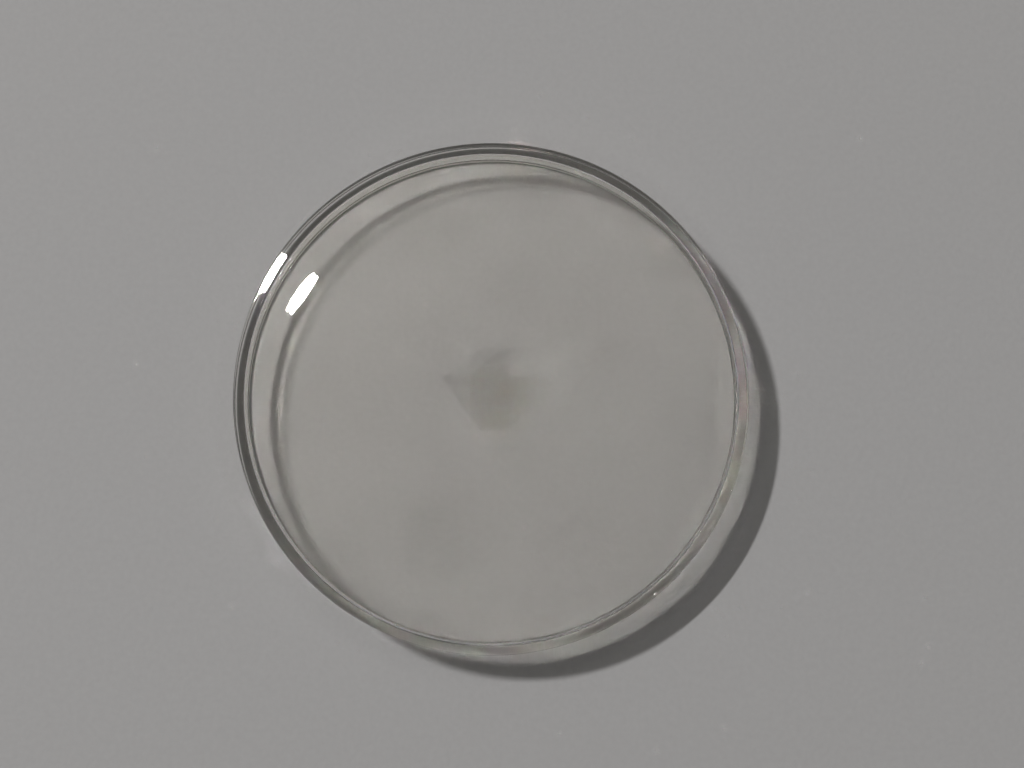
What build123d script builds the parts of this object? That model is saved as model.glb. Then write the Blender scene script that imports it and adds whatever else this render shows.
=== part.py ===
from build123d import *
import math
import os

# A high-domed wristwatch crystal, made in one piece from clear acrylic.
# The origin is the centre of the foot's flat ring, and +Z points out through the dome.
# All lengths are in millimetres.

# Wall: a thin ring that stands upright on its flat foot and snaps into the bezel
crystal_diameter = 32.0
wall_thickness = 0.65
wall_height = 2.57
heel_chamfer = 0.12
lip_chamfer = 0.05
rim_chamfer = 0.08

# Ledge: a narrow step on top of the wall, which rises a little to the dome's edge
ledge_width = 0.65
ledge_rise = 0.18

# Dome: two spheres about one centre, so that it is equally thick all over
dome_radius = 47.0
dome_thickness = 1.0

# Inner corner: rounds the hollow where the wall meets the underside of the dome
inner_corner_radius = 0.4


def height_on_arc(radius, distance):
    """Height of an arc above its centre, at a distance to the side of the centre."""
    return math.sqrt(radius ** 2 - distance ** 2)


def round_corner(section, corner, radius):
    """Round the section's corner that lies at a point."""
    fillet(section.vertices().sort_by_distance(corner)[0], radius)


def bevel_corner(section, corner, width):
    """Cut off the section's corner that lies at a point, equally wide on both sides."""
    chamfer(section.vertices().sort_by_distance(corner)[0], width)


def crystal_section():
    """Half of the crystal's cross-section, to the right of its axis."""
    outer_radius = crystal_diameter / 2
    inner_radius = outer_radius - wall_thickness
    heel = (outer_radius, 0)
    lip = (inner_radius, 0)
    wall_top = (outer_radius, wall_height)
    dome_edge = (outer_radius - ledge_width, wall_height + ledge_rise)

    # the centre of both spheres lies on the axis, far below the foot
    centre_height = dome_edge[1] - height_on_arc(dome_radius, dome_edge[0])
    hollow_radius = dome_radius - dome_thickness
    apex = (0, centre_height + dome_radius)
    ceiling = (0, centre_height + hollow_radius)
    ceiling_edge = (inner_radius, centre_height + height_on_arc(hollow_radius, inner_radius))

    with BuildSketch(Plane.XZ) as section:
        with BuildLine():
            Polyline(lip, heel, wall_top, dome_edge)
            TangentArc(apex, dome_edge, tangent=(1, 0))
            Line(apex, ceiling)
            TangentArc(ceiling, ceiling_edge, tangent=(1, 0))
            Line(ceiling_edge, lip)
        make_face()
        round_corner(section, ceiling_edge, inner_corner_radius)
        bevel_corner(section, heel, heel_chamfer)
        bevel_corner(section, lip, lip_chamfer)
        bevel_corner(section, wall_top, rim_chamfer)
    return section.sketch


os.makedirs("parts", exist_ok=True)
crystal = revolve(crystal_section(), Axis.Z)
export_step(crystal, "parts/crystal.step")
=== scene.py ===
import bpy
import math
import numpy as np
from mathutils import Matrix, Vector


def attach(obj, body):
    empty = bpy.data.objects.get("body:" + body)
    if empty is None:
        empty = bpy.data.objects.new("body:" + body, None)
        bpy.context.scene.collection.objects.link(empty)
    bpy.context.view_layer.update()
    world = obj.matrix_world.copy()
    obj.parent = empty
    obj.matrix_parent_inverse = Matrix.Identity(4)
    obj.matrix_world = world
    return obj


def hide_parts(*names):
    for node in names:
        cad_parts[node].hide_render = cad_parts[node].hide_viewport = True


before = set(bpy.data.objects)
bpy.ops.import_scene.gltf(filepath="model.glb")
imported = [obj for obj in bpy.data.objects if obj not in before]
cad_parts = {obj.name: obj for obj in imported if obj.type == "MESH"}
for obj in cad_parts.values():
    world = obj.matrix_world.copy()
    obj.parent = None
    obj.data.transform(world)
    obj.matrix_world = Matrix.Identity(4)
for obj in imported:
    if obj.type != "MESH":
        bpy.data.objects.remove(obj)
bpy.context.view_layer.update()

# The crystal: the one clear piece of this part, moulded from water-white acrylic and then
# turned and polished all over. A thin upright wall stands on its flat foot and ends in a
# narrow sloping ledge, from which the high dome rises: two spheres about one centre.
MM = 0.001
crystal_radius = 16.0
wall_thickness = 0.65
wall_height = 2.57
heel_rounding = 0.12
lip_rounding = 0.05
rim_rounding = 0.08
ledge_width = 0.65
ledge_rise = 0.18
dome_radius = 47.0
dome_thickness = 1.0
inner_corner_radius = 0.4

crystal_sides = 400
dome_steps = 90
inner_corner_steps = 20
rim_steps = 10
heel_steps = 8
lip_steps = 6
wall_steps = 8
foot_steps = 4


def cap(radius, edge_radius, apex_height, steps):
    """Points on a spherical cap from the axis to its edge: at an angle a from the axis the point
    lies radius * sin(a) across and radius * (1 - cos(a)) below the apex."""
    a = np.linspace(0.0, math.asin(edge_radius / radius), steps)
    return np.stack([radius * np.sin(a), apex_height - radius * (1.0 - np.cos(a))], axis=1)


def rounded(before, corner, after, radius, steps):
    """The arc that rounds a corner. Its centre lies on the corner's bisector, radius divided by
    the sine of half the angle away, and it turns from one touching point to the other."""
    u = (before - corner) / np.linalg.norm(before - corner)
    v = (after - corner) / np.linalg.norm(after - corner)
    half = math.acos(float(np.clip(u @ v, -1.0, 1.0))) / 2.0
    centre = corner + (u + v) / np.linalg.norm(u + v) * radius / math.sin(half)
    start = corner + u * radius / math.tan(half) - centre
    end = corner + v * radius / math.tan(half) - centre
    turn = math.atan2(start[0] * end[1] - start[1] * end[0], float(start @ end))
    a = np.linspace(0.0, turn, steps)
    c, s = np.cos(a), np.sin(a)
    return centre + np.stack([start[0] * c - start[1] * s, start[0] * s + start[1] * c], axis=1)


def straight(start, end, steps):
    """Evenly spaced points along a straight run, without its two ends."""
    t = np.linspace(0.0, 1.0, steps + 2)[1:-1, None]
    return start + (end - start) * t


def crystal_profile():
    """The section in millimetres, across and up: from the top of the dome over the ledge and
    down the wall, across the foot, and up inside to the top of the hollow."""
    wall_top = np.array([crystal_radius, wall_height])
    dome_edge = wall_top + np.array([-ledge_width, ledge_rise])
    heel = np.array([crystal_radius, 0.0])
    lip = np.array([crystal_radius - wall_thickness, 0.0])

    # both spheres share a centre on the axis, far below the foot
    centre_height = dome_edge[1] - math.sqrt(dome_radius ** 2 - dome_edge[0] ** 2)
    hollow_radius = dome_radius - dome_thickness
    corner_height = centre_height + math.sqrt(hollow_radius ** 2 - lip[0] ** 2)
    corner = np.array([lip[0], corner_height])
    dome = cap(dome_radius, dome_edge[0], centre_height + dome_radius, dome_steps)
    hollow = cap(hollow_radius, lip[0], centre_height + hollow_radius, dome_steps)

    rim_round = rounded(dome_edge, wall_top, heel, rim_rounding, rim_steps)
    heel_round = rounded(wall_top, heel, lip, heel_rounding, heel_steps)
    lip_round = rounded(heel, lip, corner, lip_rounding, lip_steps)
    corner_round = rounded(lip, corner, hollow[-2], inner_corner_radius, inner_corner_steps)
    hollow = hollow[hollow[:, 0] < corner_round[-1, 0]][::-1]
    runs = [dome, straight(dome_edge, rim_round[0], wall_steps), rim_round,
            straight(rim_round[-1], heel_round[0], wall_steps), heel_round,
            straight(heel_round[-1], lip_round[0], foot_steps), lip_round,
            straight(lip_round[-1], corner_round[0], wall_steps), corner_round, hollow]
    return np.concatenate(runs)


def turned(name, profile, sides):
    """A surface of revolution: point i of the profile at turn j lies at (r cos a, r sin a, z) with
    a = 2 pi j / sides. The profile's two ends lie on the axis and close it as poles."""
    ring = profile[1:-1]
    rows = len(ring)
    a = np.arange(sides) * (2.0 * math.pi / sides)
    x = ring[:, :1] * np.cos(a)
    y = ring[:, :1] * np.sin(a)
    z = np.repeat(ring[:, 1:], sides, axis=1)
    poles = np.array([[0.0, 0.0, profile[0, 1]], [0.0, 0.0, profile[-1, 1]]])
    points = np.concatenate([np.stack([x, y, z], axis=2).reshape(-1, 3), poles]) * MM
    i, j = np.meshgrid(np.arange(rows - 1), np.arange(sides), indexing="ij")
    k = (j + 1) % sides
    quads = np.stack([i * sides + j, (i + 1) * sides + j, (i + 1) * sides + k, i * sides + k], axis=2)
    here = np.arange(sides)
    after = (here + 1) % sides
    last = (rows - 1) * sides
    top = np.stack([np.full(sides, rows * sides), here, after], axis=1)
    under = np.stack([last + after, last + here, np.full(sides, rows * sides + 1)], axis=1)
    mesh = bpy.data.meshes.new(name)
    mesh.from_pydata(points.tolist(), [], quads.reshape(-1, 4).tolist() + top.tolist() + under.tolist())
    mesh.polygons.foreach_set("use_smooth", np.ones(len(mesh.polygons), dtype=bool))
    mesh.update()
    piece = bpy.data.objects.new(name, mesh)
    bpy.context.scene.collection.objects.link(piece)
    return piece


def node(tree, kind, inputs=(), **settings):
    """Adds a node to a tree, with its settings and with its inputs as (socket, value or output)."""
    made = tree.nodes.new(kind)
    for key, value in settings.items():
        setattr(made, key, value)
    for socket, value in inputs:
        if isinstance(value, bpy.types.NodeSocket):
            tree.links.new(value, made.inputs[socket])
        else:
            made.inputs[socket].default_value = value
    return made


turned_fade = 0.12
turning_pitch = 0.05
turning_depth = 0.0006
turning_strength = 0.3
turned_roughness = 0.02
hairline_gap = 0.9
hairline_slant = 0.6
hairline_stretch = 0.04
hairline_width = 0.006
hairline_depth = 0.1


def clear_acrylic():
    """Water-white acrylic with a trace of yellow. The wall, ledge and foot keep the fine rings of
    the lathe, and the dome has only the faint hairlines of its last polish."""
    material = bpy.data.materials.new("clear_acrylic")
    material.use_nodes = True
    tree = material.node_tree
    skin = tree.nodes["Principled BSDF"]
    skin.inputs["Base Color"].default_value = (1.0, 0.99, 0.965, 1.0)
    skin.inputs["IOR"].default_value = 1.49
    skin.inputs["Transmission Weight"].default_value = 1.0

    # the lathe's rings: noise over the distance from the axis and the height, outside the dome
    place = node(tree, "ShaderNodeTexCoord").outputs["Object"]
    parts = node(tree, "ShaderNodeSeparateXYZ", [(0, place)])
    flat = node(tree, "ShaderNodeVectorMath", [(0, place), (1, (1.0, 1.0, 0.0))], operation="MULTIPLY")
    across = node(tree, "ShaderNodeVectorMath", [(0, flat.outputs[0])], operation="LENGTH").outputs["Value"]
    section_place = node(tree, "ShaderNodeCombineXYZ", [("X", across), ("Z", parts.outputs["Z"])])
    rings = node(tree, "ShaderNodeTexNoise",
                 [("Vector", section_place.outputs[0]), ("Scale", 1.0 / (turning_pitch * MM)),
                  ("Detail", 2.0)])
    ledge_start = crystal_radius - ledge_width
    turned_part = node(tree, "ShaderNodeMapRange",
                       [("Value", across), ("From Min", (ledge_start - turned_fade) * MM),
                        ("From Max", ledge_start * MM)])
    turned_marks = node(tree, "ShaderNodeMath", [(0, rings.outputs[0]), (1, turned_part.outputs[0])],
                        operation="MULTIPLY")

    # the hairlines: where a noise that is drawn out to one side passes its middle value
    drawn_out = node(tree, "ShaderNodeMapping",
                     [("Vector", place), ("Rotation", (0.0, 0.0, hairline_slant)),
                      ("Scale", (1.0, hairline_stretch, 1.0))])
    cloud = node(tree, "ShaderNodeTexNoise",
                 [("Vector", drawn_out.outputs[0]), ("Scale", 1.0 / (hairline_gap * MM)), ("Detail", 1.0)])
    off_middle = node(tree, "ShaderNodeMath", [(0, cloud.outputs[0]), (1, 0.5)], operation="SUBTRACT")
    distance = node(tree, "ShaderNodeMath", [(0, off_middle.outputs[0])], operation="ABSOLUTE")
    hairlines = node(tree, "ShaderNodeMapRange",
                     [("Value", distance.outputs[0]), ("From Max", hairline_width), ("To Min", 1.0),
                      ("To Max", 0.0)])
    grooves = node(tree, "ShaderNodeMath", [(0, hairlines.outputs[0]), (1, -hairline_depth)],
                   operation="MULTIPLY")

    marks = node(tree, "ShaderNodeMath", [(0, turned_marks.outputs[0]), (1, grooves.outputs[0])],
                 operation="ADD")
    relief = node(tree, "ShaderNodeBump",
                  [("Height", marks.outputs[0]), ("Strength", turning_strength),
                   ("Distance", turning_depth * MM)])
    gloss = node(tree, "ShaderNodeMapRange",
                 [("Value", turned_marks.outputs[0]), ("From Min", 0.2), ("From Max", 0.8),
                  ("To Min", 0.0), ("To Max", turned_roughness)])
    tree.links.new(relief.outputs[0], skin.inputs["Normal"])
    tree.links.new(gloss.outputs[0], skin.inputs["Roughness"])
    return material


crystal = turned("polished_crystal", crystal_profile(), crystal_sides)
crystal.data.materials.append(clear_acrylic())
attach(crystal, "root")
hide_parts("crystal")

# The floor: a plain pale grey board just under the crystal, with the faint tooth of matt card.
# It isn't part of the object. The gap lets some light in under the crystal's foot.
floor_half = 600.0
floor_gap = 0.06
card_tooth = 0.35
card_relief = 0.02
card_dark = (0.505, 0.505, 0.515, 1.0)
card_light = (0.56, 0.56, 0.57, 1.0)


def matt_card():
    """Pale grey card: a fine noise makes its colour a little uneven and raises its surface."""
    material = bpy.data.materials.new("matt_card")
    material.use_nodes = True
    tree = material.node_tree
    skin = tree.nodes["Principled BSDF"]
    skin.inputs["Roughness"].default_value = 0.95
    skin.inputs["Specular IOR Level"].default_value = 0.2
    place = node(tree, "ShaderNodeTexCoord").outputs["Object"]
    tooth = node(tree, "ShaderNodeTexNoise",
                 [("Vector", place), ("Scale", 1.0 / (card_tooth * MM)), ("Detail", 3.0)])

    # a Mix node has its two colours at inputs 6 and 7, and the mixed colour at output 2
    shade = node(tree, "ShaderNodeMix", [(0, tooth.outputs[0]), (6, card_dark), (7, card_light)],
                 data_type="RGBA")
    relief = node(tree, "ShaderNodeBump",
                  [("Height", tooth.outputs[0]), ("Strength", 0.5), ("Distance", card_relief * MM)])
    tree.links.new(shade.outputs[2], skin.inputs["Base Color"])
    tree.links.new(relief.outputs[0], skin.inputs["Normal"])
    return material


floor_mesh = bpy.data.meshes.new("floor")
corners = np.array([[-1.0, -1.0, 0.0], [1.0, -1.0, 0.0], [1.0, 1.0, 0.0], [-1.0, 1.0, 0.0]]) * floor_half
corners[:, 2] = -floor_gap
floor_mesh.from_pydata((corners * MM).tolist(), [], [(0, 1, 2, 3)])
floor_mesh.materials.append(matt_card())
floor = bpy.data.objects.new("floor", floor_mesh)
bpy.context.scene.collection.objects.link(floor)

# The studio light: one low, wide, oval soft box on the upper left, in a room that is brighter on
# that side. The light that goes through the crystal is followed, so its shadow has the real rings.
box_turn = 144.8
box_height = 41.8
box_distance = 1.0
box_size = (0.148, 0.026)
box_power = 5.5
box_tint = (1.0, 0.98, 0.96)
room_turn = 130.0
room_height = 35.0
room_strength = 0.15
room_shade = (0.5, 0.52, 0.56, 1.0)
room_half_bright = (1.5, 1.45, 1.33, 1.0)
room_bright = (3.2, 3.05, 2.75, 1.0)
half_bright_place = 0.75


def towards(turn, height):
    """The direction at a compass turn and a height above the floor, both in degrees."""
    a, e = math.radians(turn), math.radians(height)
    return Vector((math.cos(e) * math.cos(a), math.cos(e) * math.sin(a), math.sin(e)))


box_light = bpy.data.lights.new("window", "AREA")
box_light.shape = "ELLIPSE"
box_light.size, box_light.size_y = box_size
box_light.energy = box_power
box_light.color = box_tint
soft_box = bpy.data.objects.new("window", box_light)
soft_box.location = towards(box_turn, box_height) * box_distance
soft_box.rotation_euler = soft_box.location.to_track_quat("Z", "Y").to_euler()
bpy.context.scene.collection.objects.link(soft_box)

world = bpy.data.worlds.new("room")
world.use_nodes = True
room_tree = world.node_tree
look = node(room_tree, "ShaderNodeTexCoord").outputs["Generated"]
facing = node(room_tree, "ShaderNodeVectorMath", [(0, look), (1, towards(room_turn, room_height))],
              operation="DOT_PRODUCT")
room = node(room_tree, "ShaderNodeValToRGB", [("Fac", facing.outputs["Value"])])
room.color_ramp.elements[0].color = room_shade
room.color_ramp.elements[1].color = room_bright
room.color_ramp.elements.new(half_bright_place).color = room_half_bright
room_tree.links.new(room.outputs[0], room_tree.nodes["Background"].inputs["Color"])
room_tree.nodes["Background"].inputs["Strength"].default_value = room_strength
bpy.context.scene.world = world
bpy.context.scene.view_settings.view_transform = "Standard"
tracer = bpy.context.scene.cycles
tracer.use_guiding = True
tracer.blur_glossy = 0.0
tracer.sample_clamp_indirect = 0.0
tracer.use_adaptive_sampling = False

# The camera: close above the crystal, a little to the front, with the photo's lens and tilt. Its
# picture is measured in pixels from the upper left corner, to the right and down.
focal = 1150.0
picture_width = 1024.0
picture_middle = (512.0, 384.0)
foot_centre = (492.0, 396.7)
camera_height = 73.27
lean_right = -0.00575
lean_front = 0.13294
film_width = 36.0
nearest_seen = 1.0

# the scene's axes as the camera has them, with its x to the right, y down and z ahead
down = Vector((lean_right, lean_front, 1.0)).normalized()
up = -down
east = (Vector((1.0, 0.0, 0.0)) - down * down.x).normalized()
north = up.cross(east)
to_scene = Matrix((east, north, up))
ray = to_scene @ Vector(((foot_centre[0] - picture_middle[0]) / focal,
                         (foot_centre[1] - picture_middle[1]) / focal, 1.0))
place = ray * (camera_height * MM / ray.z)
flip = Matrix(((1, 0, 0), (0, -1, 0), (0, 0, -1)))

lens = bpy.data.cameras.new("camera")
lens.sensor_width = film_width
lens.lens = focal / picture_width * film_width
lens.clip_start = nearest_seen * MM
camera = bpy.data.objects.new("camera", lens)
camera.matrix_world = Matrix.Translation(place) @ (to_scene @ flip).to_4x4()
bpy.context.scene.collection.objects.link(camera)
bpy.context.scene.camera = camera
